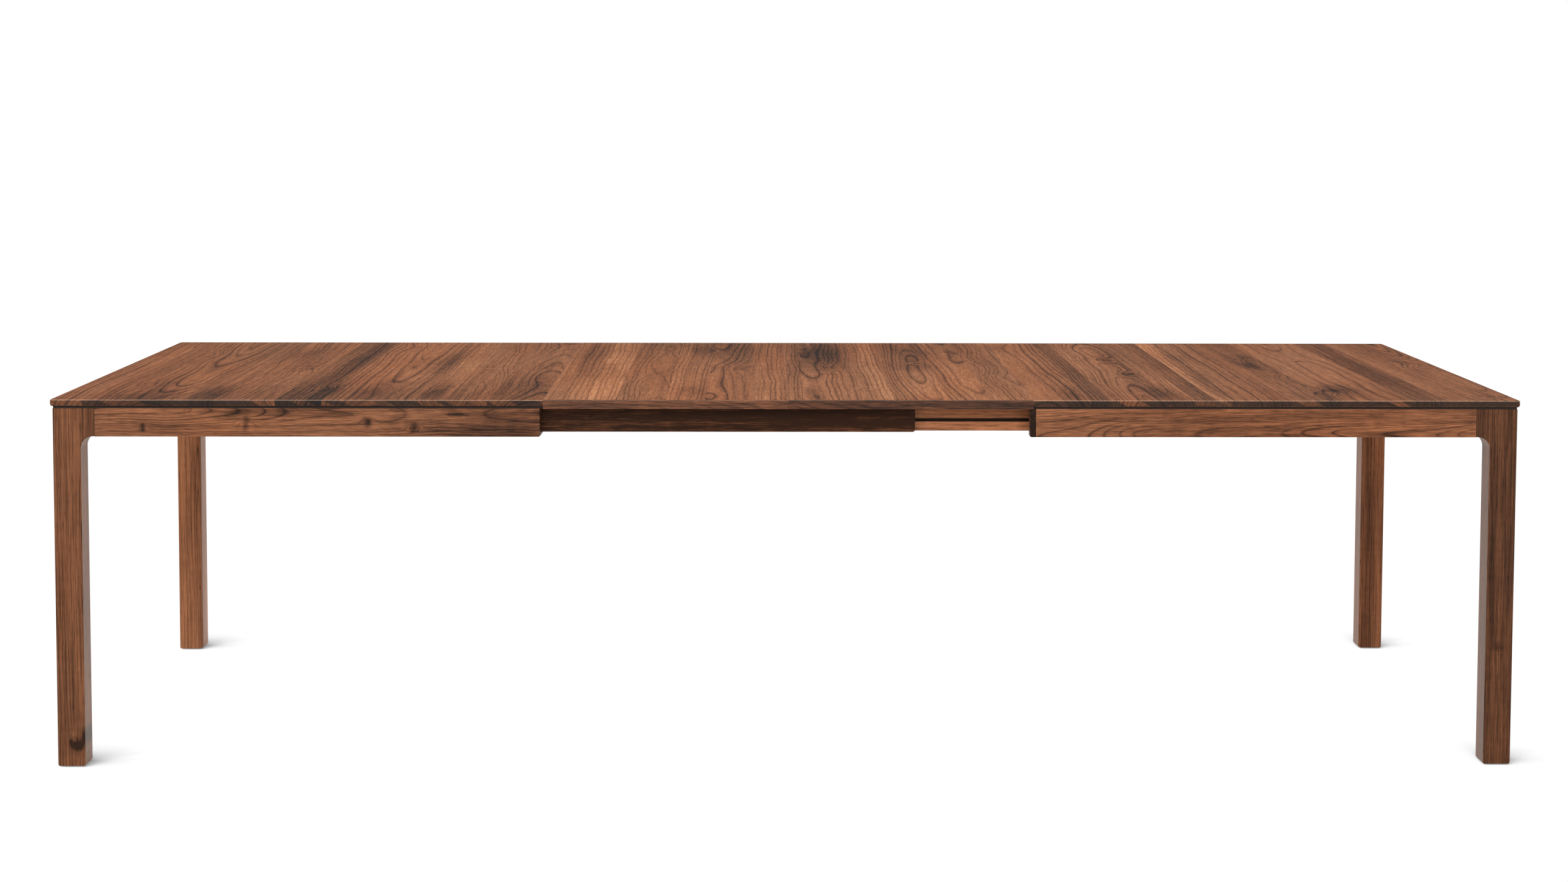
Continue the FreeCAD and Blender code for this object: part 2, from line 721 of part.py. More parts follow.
def make_rail(end_drill, bracket_drill):
    """A rail whose groove takes the runner's tongue, closed at its left end by a stop block."""
    length = f"(rail_reach + {OUTER_RAIL_NEAR})"
    body = new_body("front_rail", ("-rail_reach", f"-{RAIL_FRONT}", RAIL_BOTTOM))
    add_block(body, "rail", ("0", "0", "0"), (length, "rail_thickness", "rail_height"))
    cut_block(body, "groove", ("0", "0", "groove_level"), (length, "groove_depth", "groove_height"))
    lip = DIMENSIONS["groove_level"] + DIMENSIONS["groove_height"]
    for title, level, radius in (
        ("groove_lip", lip, "groove_lip_radius"),
        ("bottom_edge", 0, "rail_bottom_radius"),
    ):
        round_edges(body, title, lambda e: runs_along(e, "x") and lies_at(e, y=0, z=level), radius)
    wood = drilled(body, "front_rail_end_holes", end_drill, end_screw_places())
    holes = [place for place in rail_bracket_screws("-Y") if place[1] == POINTING["-Y"]]
    rail = keep(drilled(wood, "front_rail_bracket_hole", bracket_drill, holes), "front_rail")
    mirrored(rail, "back_rail", Vector(0, 1, 0))

    stop = new_body("front_stop", ("-rail_reach", f"-{RAIL_FRONT}", f"{RAIL_BOTTOM} + groove_level"))
    add_block(stop, "block", ("0", "0", "0"), ("stop_length", "groove_depth", "groove_height"))
    pair_front_and_back(stop, "rail_stops")


def end_screw_places():
    """Screws through the right outer cross rail into the end of the front rail."""
    middle = f"-{RAIL_BACK} - rail_thickness / 2 + groove_depth / 2"
    levels = (f"{RAIL_BOTTOM} + end_screw_low", f"{RAIL_BOTTOM} + end_screw_high")
    return [((OUTER_RAIL_FAR, middle, level), POINTING["-X"]) for level in levels]


# ---- brackets: bent steel angles under the tops and behind the right cross rail ----


def bracket_spots(side):
    """Where each top bracket stands: the face it is screwed to, the way to that wood, and its Y."""
    spots = []
    for step in (-1, 0, 1):
        spots.append((signed(side, APRON_INNER_X), outward(side), f"({step} * end_bracket_pitch)"))
    inner_face = RIGHT_INNER_END if side == "right" else f"-({LEFT_INNER_END} + cross_rail_thickness)"
    for step in (-1, 1):
        spots.append((inner_face, inward(side), f"({step} * rail_bracket_pitch)"))
    return spots


def bracket_places(side, what):
    """Places of a half's brackets, of the screws up into its top, or of those into its aprons and rails."""
    places = []
    for face, way, across in bracket_spots(side):
        away = "-" if way == "+X" else "+"
        if what == "top_screws":
            corner = (f"{face} {away} bracket_hole_setback", across, f"{TOP_UNDERSIDE} - bracket_plate")
            places.append((corner, POINTING["+Z"]))
        elif what == "side_screws":
            corner = (f"{face} {away} bracket_plate", across, f"{TOP_UNDERSIDE} - bracket_hole_setback")
            places.append((corner, POINTING[way]))
        else:
            turn = Rotation(Vector(0, 0, 1), 180) if way == "+X" else Rotation()
            places.append(((face, across, TOP_UNDERSIDE), turn))
    return places


def bracket_master():
    """A bent angle whose upright leans on wood towards -X and whose arm lies under the top."""
    body = new_body("bracket_master", ("0", "0", "0"))
    half = "bracket_width / 2"
    add_block(
        body,
        "upright",
        ("0", f"-{half}", "-bracket_arm"),
        ("bracket_plate", "bracket_width", "bracket_arm"),
    )
    arm_size = ("bracket_arm", "bracket_width", "bracket_plate")
    add_block(body, "arm", ("0", f"-{half}", "-bracket_plate"), arm_size)
    drill = cylinder("bracket_drill", "screw_radius + drill_clearance", "bracket_plate * 3")
    level = "-bracket_hole_setback"
    places = [
        (("bracket_hole_setback", "0", "-bracket_plate * 2"), POINTING["+Z"]),
        (("-bracket_plate", "0", level), POINTING["+X"]),
    ]
    return drilled(body, "bracket_holes", drill, places)


def rail_bracket_corner():
    return (RIGHT_INNER_END, f"-{RAIL_BACK}", f"{RAIL_BOTTOM} + rail_bracket_level")


def rail_bracket_screws(way):
    """Screws of the bracket between the right cross rail and the front rail: into the one or the other."""
    low_x, low_y, low_z = rail_bracket_corner()
    level = f"{low_z} + bracket_width / 2"
    if way == "-X":
        front = ((f"{low_x} + bracket_plate", f"{low_y} + bracket_hole_setback", level), POINTING["-X"])
        back = ((f"{low_x} + bracket_plate", f"-({low_y} + bracket_hole_setback)", level), POINTING["-X"])
        return [front, back]
    return [((f"{low_x} + bracket_hole_setback", f"{low_y} + bracket_plate", level), POINTING["-Y"])]


def make_brackets():
    bracket = bracket_master()
    long_screw = screw_master("top_screw", "top_screw_length")
    short_screw = screw_master("rail_screw", "rail_screw_length")
    for side in ("left", "right"):
        keep(group(f"{side}_top_brackets", bracket, bracket_places(side, "brackets")), f"{side}_top_brackets")
        sides = bracket_places(side, "side_screws")
        into_apron = [place for place in sides if place[1] == POINTING[outward(side)]]
        into_rail = [place for place in sides if place[1] == POINTING[inward(side)]]
        long_ones = group(f"{side}_long_screws", long_screw, bracket_places(side, "top_screws") + into_apron)
        short_ones = group(f"{side}_short_screws", short_screw, into_rail)
        screws = doc.addObject("Part::Compound", f"{side}_bracket_screws")
        screws.Links = [long_ones, short_ones]
        keep(screws, f"{side}_bracket_screws")

    # The rail brackets stand on edge, with one face on the cross rail and one on the rail.
    low_x, low_y, low_z = rail_bracket_corner()
    on_edge = Rotation(Vector(1, 0, 0), 90)
    corner = (low_x, low_y, f"{low_z} + bracket_width / 2")
    front = group("front_rail_bracket", bracket, [(corner, on_edge)])
    pair_front_and_back(front, "rail_brackets")
    into_cross = group("rail_bracket_short_screw", short_screw, rail_bracket_screws("-X")[:1])
    into_rail = group("rail_bracket_long_screw", long_screw, rail_bracket_screws("-Y"))
    end_screw = screw_master("end_screw", "end_screw_length")
    into_end = group("rail_end_screws", end_screw, end_screw_places())
    front = doc.addObject("Part::Compound", "front_rail_screws")
    front.Links = [into_cross, into_rail, into_end]
    pair_front_and_back(front, "rail_screws")


# ---- tops and leaves ----


def dowel_places(joint, start, way):
    """Four places along a joint, at the middle of the wood's thickness."""
    places = []
    for step in (-1.5, -0.5, 0.5, 1.5):
        places.append(((f"{joint} {start}", f"{step} * dowel_pitch", TOP_MIDDLE), POINTING[way]))
    return places


def top_shape(side, drills):
    """A half top: a slab with a rebate under its three outer edges, which are rounded."""
    half = "(table_length / 2 - leaf_length)"
    low_x = on_side(side, "leaf_length", "(table_length / 2)")
    body = new_body(f"{side}_top", (low_x, "-table_depth / 2", TOP_UNDERSIDE))
    slab = "(top_thickness - rebate_height)"
    add_block(body, "slab", ("0", "0", "rebate_height"), (half, "table_depth", slab))
    outer = 0 if side == "left" else body.Tip.Shape.BoundBox.XMax
    joint = body.Tip.Shape.BoundBox.XMax - outer
    at_corner = lambda e: runs_along(e, "z") and lies_at(e, x=outer)
    round_edges(body, "plan_corners", at_corner, "top_corner_radius")
    top = DIMENSIONS["top_thickness"]
    under = DIMENSIONS["rebate_height"]

    def outer_edge(edge, level):
        flat = abs(edge.BoundBox.ZMin - level) < EPSILON and abs(edge.BoundBox.ZMax - level) < EPSILON
        return flat and not lies_at(edge, x=joint)

    round_edges(body, "upper_arris", lambda e: outer_edge(e, top), "top_arris_radius")
    round_edges(body, "under_arris", lambda e: outer_edge(e, under), "top_under_radius")
    at_joint = lambda e: runs_along(e, "y") and lies_at(e, x=joint, z=top)
    round_edges(body, "joint_arris", at_joint, "joint_arris")
    inset = "rebate_depth" if side == "left" else "0"
    add_block(
        body,
        "rebated_layer",
        (inset, "rebate_depth", "0"),
        (f"{half} - rebate_depth", "table_depth - 2 * rebate_depth", "rebate_height"),
    )
    wood = body
    for count, (drill, places) in enumerate(drills, start=1):
        wood = drilled(wood, f"{side}_top_holes_{count}", drill, places)
    return keep(wood, f"{side}_top")


def leaf_shape(label, start, dowel_drill, socket_drill):
    """A leaf: a panel with a band of long grain glued along its front and back edges."""
    low_y = "-table_depth / 2"
    body = new_body(label, (start, f"{low_y} + band_width", TOP_UNDERSIDE))
    panel_size = ("leaf_length", "table_depth - 2 * band_width", "top_thickness")
    add_block(body, "panel", ("0", "0", "0"), panel_size)
    top = DIMENSIONS["top_thickness"]
    round_edges(
        body,
        "joint_arrises",
        lambda e: runs_along(e, "y") and abs(e.CenterOfMass.z - top) < EPSILON,
        "joint_arris",
    )
    wood = drilled(body, f"{label}_dowel_holes", dowel_drill, dowel_places(start, "- drill_clearance", "+X"))
    sockets = dowel_places(start, "+ leaf_length - socket_depth", "+X")
    keep(drilled(wood, f"{label}_sockets", socket_drill, sockets), label)

    band = new_body(f"{label}_front_band", (start, low_y, TOP_UNDERSIDE))
    add_block(band, "strip", ("0", "0", "0"), ("leaf_length", "band_width", "top_thickness"))
    round_edges(band, "upper_arris", lambda e: runs_along(e, "x") and lies_at(e, y=0, z=top), "leaf_arris")
    round_edges(
        band,
        "end_arrises",
        lambda e: runs_along(e, "y") and abs(e.CenterOfMass.z - top) < EPSILON,
        "joint_arris",
    )
    mirrored(keep(band, f"{label}_front_band"), f"{label}_back_band", Vector(0, 1, 0))


def make_tops(bracket_drill):
    dowel = cylinder("dowel_master", "dowel_radius", "dowel_length")
    embedded = "dowel_length - dowel_reach + drill_clearance * 2"
    dowel_drill = cylinder("dowel_drill", "dowel_radius + drill_clearance", embedded)
    socket_drill = cylinder("socket_drill", "socket_radius", "socket_depth")
    screws = {side: bracket_places(side, "top_screws") for side in ("left", "right")}
    left_joint, right_joint = "-leaf_length", "leaf_length"
    top_shape("left", [
        (bracket_drill, screws["left"]),
        (socket_drill, dowel_places(left_joint, "- socket_depth", "+X")),
    ])
    top_shape("right", [
        (bracket_drill, screws["right"]),
        (dowel_drill, dowel_places(right_joint, "- drill_clearance", "+X")),
    ])
    right_dowels = group("right_top_dowels", dowel, dowel_places(right_joint, "- dowel_reach", "+X"))
    keep(right_dowels, "right_top_dowels")
    for label, start in (("leaf_1", left_joint), ("leaf_2", "0")):
        leaf_shape(label, start, dowel_drill, socket_drill)
        name = f"{label}_dowels"
        keep(group(name, dowel, dowel_places(start, "- dowel_reach", "+X")), name)


# ---- the whole table ----


def check_document():
    """Stop if any object failed, or any node has no valid shape."""
    doc.recompute()
    failed = [item.Name for item in doc.Objects if {"Invalid", "Error"} & set(item.State)]
    if failed:
        raise RuntimeError(f"failed objects: {failed}")
    for label, piece in nodes.items():
        if piece.Shape.isNull() or not piece.Shape.isValid() or not piece.Shape.Solids:
            raise RuntimeError(f"{label} has no valid solid")


def write_steps():
    os.makedirs("parts", exist_ok=True)
    for label, piece in nodes.items():
        piece.Shape.exportStep(f"parts/{label}.step")


make_corners()
apron_drill, small_drill, bracket_drill = make_aprons()
end_drill = drill_master("end_screw_drill", "end_screw_length")
make_cross_rails(small_drill, end_drill)
make_runner(apron_drill)
make_rail(end_drill, bracket_drill)
make_brackets()
make_tops(bracket_drill)
check_document()
write_steps()
print(f"{len(nodes)} nodes written")
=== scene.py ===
"""An extendable walnut dining table: the finishes, floor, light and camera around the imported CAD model."""

import math

import bpy
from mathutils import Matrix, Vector


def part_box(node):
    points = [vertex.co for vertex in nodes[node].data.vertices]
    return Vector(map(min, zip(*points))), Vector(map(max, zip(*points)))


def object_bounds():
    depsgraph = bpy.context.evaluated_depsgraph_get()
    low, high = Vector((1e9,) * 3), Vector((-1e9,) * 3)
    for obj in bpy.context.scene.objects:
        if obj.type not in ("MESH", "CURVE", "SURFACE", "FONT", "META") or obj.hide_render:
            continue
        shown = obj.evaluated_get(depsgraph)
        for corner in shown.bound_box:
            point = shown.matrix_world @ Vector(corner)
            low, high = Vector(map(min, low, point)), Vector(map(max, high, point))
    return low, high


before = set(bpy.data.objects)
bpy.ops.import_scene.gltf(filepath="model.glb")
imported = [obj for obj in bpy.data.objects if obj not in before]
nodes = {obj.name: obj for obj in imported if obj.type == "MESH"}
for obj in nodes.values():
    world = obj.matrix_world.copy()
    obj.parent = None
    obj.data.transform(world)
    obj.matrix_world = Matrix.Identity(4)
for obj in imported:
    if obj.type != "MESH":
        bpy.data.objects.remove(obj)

MM = 0.001

cad_low, cad_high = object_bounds()
TABLE_TOP = cad_high.z


# ---------------------------------------------------------------- shader writing

# The sockets of a Mix node that blends colours
MIX_FACTOR = 0
MIX_FIRST = 6
MIX_SECOND = 7
MIX_RESULT = 2


class Field:
    """A number that varies over a surface. Arithmetic on fields adds Math nodes."""

    def __init__(self, graph, socket):
        self.graph = graph
        self.socket = socket

    def __add__(self, other):
        return self.graph.math("ADD", self, other)

    __radd__ = __add__

    def __sub__(self, other):
        return self.graph.math("SUBTRACT", self, other)

    def __rsub__(self, other):
        return self.graph.math("SUBTRACT", other, self)

    def __mul__(self, other):
        return self.graph.math("MULTIPLY", self, other)

    def __truediv__(self, other):
        return self.graph.math("DIVIDE", self, other)


class Graph:
    """Writes a node tree. Most methods add nodes and give back a Field or a list of Fields."""

    def __init__(self, tree):
        self.tree = tree

    def node(self, kind, inputs, output=0, **settings):
        """Adds a node with these inputs and settings, and gives back one of its outputs."""
        node = self.tree.nodes.new("ShaderNode" + kind)
        for name, value in settings.items():
            setattr(node, name, value)
        for key, value in inputs.items():
            self.connect(node.inputs[key], value)
        return Field(self, node.outputs[output])

    def connect(self, socket, value):
        """Links a Field to a socket, or sets the socket to a plain value."""
        if isinstance(value, Field):
            self.tree.links.new(value.socket, socket)
        else:
            socket.default_value = value

    def math(self, operation, *values):
        return self.node("Math", dict(enumerate(values)), operation=operation)

    def join(self, x, y, z):
        return self.node("CombineXYZ", {"X": x, "Y": y, "Z": z})

    def coordinates(self, kind):
        """The x, y and z of one kind of texture coordinate."""
        place = self.node("TexCoord", {}, kind)
        return [self.node("SeparateXYZ", {"Vector": place}, axis) for axis in "XYZ"]

    def parts(self, colour):
        """The three numbers that a colour holds."""
        return [self.node("SeparateColor", {"Color": colour}, part) for part in ("Red", "Green", "Blue")]

    def noise(self, place, detail=2.0, roughness=0.5):
        """Smooth noise about zero, at one change a unit of place."""
        inputs = {"Vector": place, "Scale": 1.0, "Detail": detail, "Roughness": roughness}
        return self.node("TexNoise", inputs) - 0.5

    def noise_along(self, line, detail=1.0):
        """Smooth noise about zero along one number."""
        inputs = {"W": line, "Scale": 1.0, "Detail": detail}
        return self.node("TexNoise", inputs, noise_dimensions="1D") - 0.5

    def ramp(self, factor, stops, interpolation="LINEAR"):
        """Colour stops along factor, as (place, colour) pairs in order."""
        field = self.node("ValToRGB", {"Fac": factor})
        blend = field.socket.node.color_ramp
        blend.interpolation = interpolation
        blend.elements.remove(blend.elements[1])
        first_place, first_colour = stops[0]
        blend.elements[0].position = first_place
        blend.elements[0].color = (*first_colour, 1.0)
        for place, colour in stops[1:]:
            blend.elements.new(place).color = (*colour, 1.0)
        return field

    def curve(self, factor, stops):
        """Number stops along factor, as (place, number) pairs in order."""
        return self.ramp(factor, [(place, (number,) * 3) for place, number in stops])

    def between(self, factor, low, high):
        """0 where factor is under low, 1 over high, and smooth between."""
        inputs = {"Value": factor, "From Min": low, "From Max": high}
        return self.node("MapRange", inputs, interpolation_type="SMOOTHSTEP")

    def mix(self, factor, first, second, how="MIX"):
        """Colours first and second blended by factor."""
        inputs = {MIX_FACTOR: factor, MIX_FIRST: first, MIX_SECOND: second}
        return self.node("Mix", inputs, MIX_RESULT, data_type="RGBA", blend_type=how)

    def bump(self, height, strength, distance):
        """The normal of a surface with relief."""
        return self.node("Bump", {"Strength": strength, "Distance": distance, "Height": height})


def linear(red, green, blue):
    """A display colour, each part from 0 to 255, as the linear colour that shaders take."""
    shares = (red / 255, green / 255, blue / 255)
    return tuple(share / 12.92 if share <= 0.04045 else ((share + 0.055) / 1.055) ** 2.4 for share in shares)


def rgba(red, green, blue):
    """The same with full opacity, as colour sockets take it."""
    return (*linear(red, green, blue), 1.0)


def new_material(name):
    """A material with its graph and its surface shader."""
    material = bpy.data.materials.new(name)
    material.use_nodes = True
    graph = Graph(material.node_tree)
    return material, graph, material.node_tree.nodes["Principled BSDF"]


# ---------------------------------------------------------------- walnut: its scales and colours

# Walnut's colour by tone, from darkest to lightest
WALNUT = [
    (0.00, linear(40, 24, 15)),
    (0.25, linear(84, 52, 34)),
    (0.50, linear(124, 80, 54)),
    (0.75, linear(160, 106, 73)),
    (1.00, linear(200, 143, 103)),
]
REDDISH = rgba(255, 241, 228)
END_GRAIN_DARK = rgba(98, 104, 106)
END_GRAIN_LIGHT = rgba(196, 190, 180)
# Painted shade: the colour put into narrow recesses that little light gets into
PAINTED_SHADE = rgba(34, 23, 17)
# Painted highlight on rounded upper edges, where light catches them
EDGE_HIGHLIGHT_COLOUR = rgba(216, 186, 164)
WARM_SHEEN = rgba(255, 205, 160)

# How dark the line between rings is, from one ring's start to the next one's
RING_LINE = [(0.0, 1.0), (0.04, 0.40), (0.16, 0.08), (0.60, 0.0), (0.88, 0.30), (1.0, 1.0)]

# For each way the grain can run, the axes across it, along it and through the piece
AXES = {"X": (2, 0, 1), "Y": (0, 1, 2), "Z": (0, 2, 1)}
UP = 2

# Each unevenness of the wood: changes a metre across the grain and along it, detail and roughness
UNEVENNESS = {
    "pith_bend": (2.2, 0.9, 2.0, 0.5),
    "pith_ripple": (13.0, 4.5, 2.0, 0.5),
    "depth_bend": (3.1, 1.6, 2.0, 0.5),
    "ragged": (60.0, 40.0, 2.0, 0.5),
    "fibre": (420.0, 24.0, 3.0, 0.65),
    "long_fibre": (420.0, 6.0, 3.0, 0.65),
    "streak": (85.0, 2.4, 4.0, 0.72),
    "cloud": (7.0, 2.2, 3.0, 0.5),
    "curl": (16.0, 60.0, 1.0, 0.5),
    "pores": (700.0, 45.0, 1.0, 0.5),
    "blotch": (4.5, 1.4, 3.0, 0.5),
    "hue": (5.0, 1.3, 2.0, 0.5),
}

# How often a ring the rhythm, the boldness and the zones of the rings change, and where their noises start
RHYTHM_CHANGES = 0.45
RHYTHM_STRENGTH = 2.2
BOLDNESS_CHANGES = 0.31
BOLDNESS_START = 40.0
ZONE_CHANGES = 0.05
ZONE_START = 90.0

# The value at which each of these starts to show, and the one at which it shows fully
PORES_SHOW = (0.08, 0.2)
BLOTCHES_SHOW = (0.10, 0.32)
KNOTS_SHOW = (0.45, 1.1)
RED_SHOWS = (-0.25, 0.25)
END_GRAIN_SHOWS = (0.6, 0.95)

# How far each part of the figure lightens or darkens the tone, where 0 is WALNUT's darkest and 1 its lightest
USUAL_TONE = 0.65
CUT_LIGHTENS = 1.3
ZONE_LIGHTENS = 0.3
CLOUD_LIGHTENS = 0.35
CURL_LIGHTENS = 0.7
FIBRE_LIGHTENS = 0.75
STREAK_LIGHTENS = 0.85
RING_DARKENS = 0.5
PORE_DARKENS = 0.10
BLOTCH_DARKENS = 0.22
KNOT_DARKENS = 0.25

# How many metres of difference in place a seed of 1 makes to the unevenness, across the grain and along it
SEED_MOVES_U = 3.0
SEED_MOVES_V = 9.0


class Cut:
    """How a piece was cut from its log, in metres. Each value is a number or a Field."""

    def __init__(self, pith, depth, slope, spacing, tone, seed):
        self.pith = pith  # where the log's centre is, across the grain
        self.depth = depth  # how far that is beneath the level that a material names
        self.slope = slope  # how much deeper it gets with each metre along the grain
        self.spacing = spacing  # of the rings
        self.tone = tone  # over 0 for paler wood, under 0 for darker
        self.seed = seed  # moves the unevenness, so that no two pieces have the same


class Look:
    """How a piece's walnut looks, apart from how it was cut."""

    rings = 1.0  # strength of the ring lines
    streaks = 1.0  # strength of the streaks
    fineness = 1.0  # of the streaks
    fibre = "fibre"  # the unevenness that makes the fibre
    ragged_knots = 1.0  # how ragged the knots are
    end_light = 0.4  # how light the end grain is, from 0 to 1
    sapwood_from = None  # where set, end grain has pale patches wherever a noise is over this
    shade = None  # where set, the heights that a line of painted shade runs from and to, and how far it fades above
    # Where true, the rounded upper edges get a painted highlight
    painted_edge_highlight = False
    gloss = 0.2
    glancing_gloss = None  # where set, the gloss at a glancing angle, with a warm sheen

    def __init__(self, **changes):
        for name, value in changes.items():
            setattr(self, name, value)


class Wood:
    """Where each point of a piece lies, in metres: u across the grain, v along it and w through the piece."""

    def __init__(self, graph, grain, cut_of):
        across, along, through = AXES[grain]
        place = graph.coordinates("Object")
        normal = graph.coordinates("Normal")
        self.graph = graph
        self.u = place[across]
        self.v = place[along]
        self.w = place[through]
        self.height = place[UP]
        self.upward = normal[UP]
        self.facing_end = normal[along]
        self.cut = cut_of(graph, self.u)
        self.moved_u = self.u + self.cut.seed * SEED_MOVES_U
        self.moved_v = self.v + self.cut.seed * SEED_MOVES_V

    def noise(self, kind, fineness=1.0):
        """One kind of unevenness, about zero."""
        across, along, detail, roughness = UNEVENNESS[kind]
        across = across * fineness
        along = along * fineness
        place = self.graph.join(self.moved_u * across, self.moved_v * along, self.w * across)
        return self.graph.noise(place, detail, roughness)


# ---------------------------------------------------------------- walnut: its figure


def knot_field(wood, knots, ragged):
    """How near each point is to a knot. A knot is (across, along, size, strength), in metres.

    A knot of negative strength is a swirl: it bends the rings but isn't dark.
    """
    longer = 2.2
    total = 0.0
    for across, along, size, strength in knots:
        beside = (wood.u - across) / size + ragged
        beyond = (wood.v - along) / (longer * size) - ragged
        near = wood.graph.math("EXPONENT", (beside * beside + beyond * beyond) * -1.0)
        total = near * strength + total
    return total


def stain_field(wood, stains, ragged_side, ragged_end):
    """How dark the heartwood is. A stain is (across, along, half width, half length, strength), in metres."""
    total = 0.0
    for across, along, half_width, half_length, strength in stains:
        beside = (wood.u - across) / half_width + ragged_side
        beyond = (wood.v - along) / half_length + ragged_end
        square = beside * beside
        near = wood.graph.math("EXPONENT", (square * square + beyond * beyond) * -1.0)
        total = near * strength + total
    return total


def ring_field(wood, level, knotty):
    """How many rings each point is from the pith. The pith wanders, and the rings are unevenly wide."""
    wander = 0.07
    ripple = 0.008
    knot_bulge = 0.022
    cut = wood.cut
    beside = wood.u - cut.pith + wood.noise("pith_bend") * wander + wood.noise("pith_ripple") * ripple
    beneath = wood.w - level + cut.depth + wood.v * cut.slope + wood.noise("depth_bend") * wander
    radius = wood.graph.math("SQRT", beside * beside + beneath * beneath) + knotty * knot_bulge
    rings = radius / cut.spacing
    return rings + wood.graph.noise_along(rings * RHYTHM_CHANGES) * RHYTHM_STRENGTH


def ring_lines(graph, rings):
    """The dark lines between rings, some of them bolder than others."""
    line = graph.curve(graph.math("FRACT", rings), RING_LINE)
    boldness = graph.noise_along(rings * BOLDNESS_CHANGES + BOLDNESS_START) * 1.6 + 0.75
    return line * boldness


def broad_tone(wood, rings, knotty):
    """The slow changes in tone: the cut's own, by zones of rings, in clouds and in curls round the knots."""
    graph = wood.graph
    zone = graph.noise_along(rings * ZONE_CHANGES + ZONE_START, 2.0)
    curl = wood.noise("curl") * (graph.math("MAXIMUM", knotty, 0.0) * 0.9 + 0.12)
    tone = USUAL_TONE + wood.cut.tone * CUT_LIGHTENS + zone * ZONE_LIGHTENS
    return tone + wood.noise("cloud") * CLOUD_LIGHTENS + curl * CURL_LIGHTENS


def end_grain(wood, look, colour):
    """Colour with darker sawn ends. Sapwood makes pale patches that slant across them."""
    graph = wood.graph
    light = look.end_light
    if look.sapwood_from is not None:
        patches = graph.noise_along(wood.moved_u * 10.0 + wood.w * 18.0)
        light = graph.between(patches, look.sapwood_from, look.sapwood_from + 0.05) * 0.75
    shade = graph.mix(light, END_GRAIN_DARK, END_GRAIN_LIGHT)
    at_end = graph.between(graph.math("ABSOLUTE", wood.facing_end), *END_GRAIN_SHOWS)
    return graph.mix(at_end, colour, graph.mix(1.0, colour, shade, "MULTIPLY"))


def painted_shade_line(wood, shade, colour):
    """Colour with a line of painted shade in a narrow recess, which little light gets into."""
    graph = wood.graph
    low, high, fade = shade
    over_low = graph.between(wood.height, low - 0.4 * MM, low)
    over_high = graph.between(wood.height, high, high + fade)
    return graph.mix(over_low * (1.0 - over_high), colour, PAINTED_SHADE)


def painted_edge_highlight(wood, colour):
    """Colour with a painted highlight on rounded upper edges, which face partly up."""
    graph = wood.graph
    strength = 0.25
    tilted = graph.between(wood.upward, 0.45, 0.65)
    flat = graph.between(wood.upward, 0.93, 0.985)
    return graph.mix(tilted * (1.0 - flat) * strength, colour, EDGE_HIGHLIGHT_COLOUR)


def polish(graph, shader, look):
    """Sets the gloss. A look with a glancing gloss also has a warm sheen."""
    if look.glancing_gloss is None:
        shader.inputs["Specular IOR Level"].default_value = look.gloss
        return
    facing = graph.node("LayerWeight", {"Blend": 0.5}, "Facing")
    gloss = graph.between(facing, 0.4, 0.75) * (look.glancing_gloss - look.gloss) + look.gloss
    graph.connect(shader.inputs["Specular IOR Level"], gloss)
    shader.inputs["Sheen Weight"].default_value = 0.22
    shader.inputs["Sheen Roughness"].default_value = 0.4
    shader.inputs["Sheen Tint"].default_value = WARM_SHEEN


def walnut(name, grain, level, cut_of, look, knots=(), stains=()):
    """Solid walnut. The pith's depth is measured from level, a place on the axis through the piece."""
    material, graph, shader = new_material(name)
    wood = Wood(graph, grain, cut_of)
    ragged = wood.noise("ragged")
    streak = wood.noise("streak", look.fineness)
    fibre = wood.noise(look.fibre)
    pores = graph.between(wood.noise("pores"), *PORES_SHOW)
    knotty = knot_field(wood, knots, ragged * look.ragged_knots)
    blotch = graph.between(wood.noise("blotch") + knotty * 0.08, *BLOTCHES_SHOW)
    rings = ring_field(wood, level, knotty)

    tone = broad_tone(wood, rings, knotty) + fibre * FIBRE_LIGHTENS
    tone = tone + streak * (STREAK_LIGHTENS * look.streaks)
    tone = tone - ring_lines(graph, rings) * (RING_DARKENS * look.rings)
    tone = tone - pores * PORE_DARKENS - blotch * BLOTCH_DARKENS
    tone = tone - graph.between(knotty, *KNOTS_SHOW) * KNOT_DARKENS
    tone = tone - stain_field(wood, stains, ragged * 0.3, streak * 1.2 + ragged * 0.8)

    red = graph.between(wood.noise("hue"), *RED_SHOWS)
    colour = graph.mix(red, graph.ramp(tone, WALNUT), REDDISH, "MULTIPLY")
    colour = end_grain(wood, look, colour)
    # Painted shade in a recess, where the look sets one
    if look.shade:
        colour = painted_shade_line(wood, look.shade, colour)
    # Painted highlight on rounded upper edges, where the look asks for one
    if look.painted_edge_highlight:
        colour = painted_edge_highlight(wood, colour)

    graph.connect(shader.inputs["Base Color"], colour)
    graph.connect(shader.inputs["Roughness"], 0.50 + pores * 0.16 + fibre * 0.10)
    graph.connect(shader.inputs["Normal"], graph.bump(fibre * 0.5 - pores, 0.35, 0.4 * MM))
    polish(graph, shader, look)
    return material


# ---------------------------------------------------------------- walnut: its cuts

# Each stave's pith has a random depth from 15 to 105 mm and a random slope of up to 0.05 either way.
# Its rings have 0.65 to 1.35 times the spacing given for its top.
LEAST_DEPTH = 0.015
DEPTH_SPREAD = 0.09
SLOPE_SPREAD = 0.10
LEAST_SPACING = 0.65
SPACING_SPREAD = 0.7
DRAWS_APART = 57.0


def board(pith, depth, slope, spacing, tone, seed):
    """The cut of one board, for pieces that are not glued up."""
    return lambda graph, u: Cut(pith, depth, slope, spacing, tone, seed)


def squeezed(share):
    """A share of the width that may lie outside 0 to 1, as a number that a colour stop can hold."""
    return 0.5 + (share - 0.5) / 2


def unsqueezed(number):
    """The share that a colour stop's number stands for."""
    return (number - 0.5) * 2 + 0.5


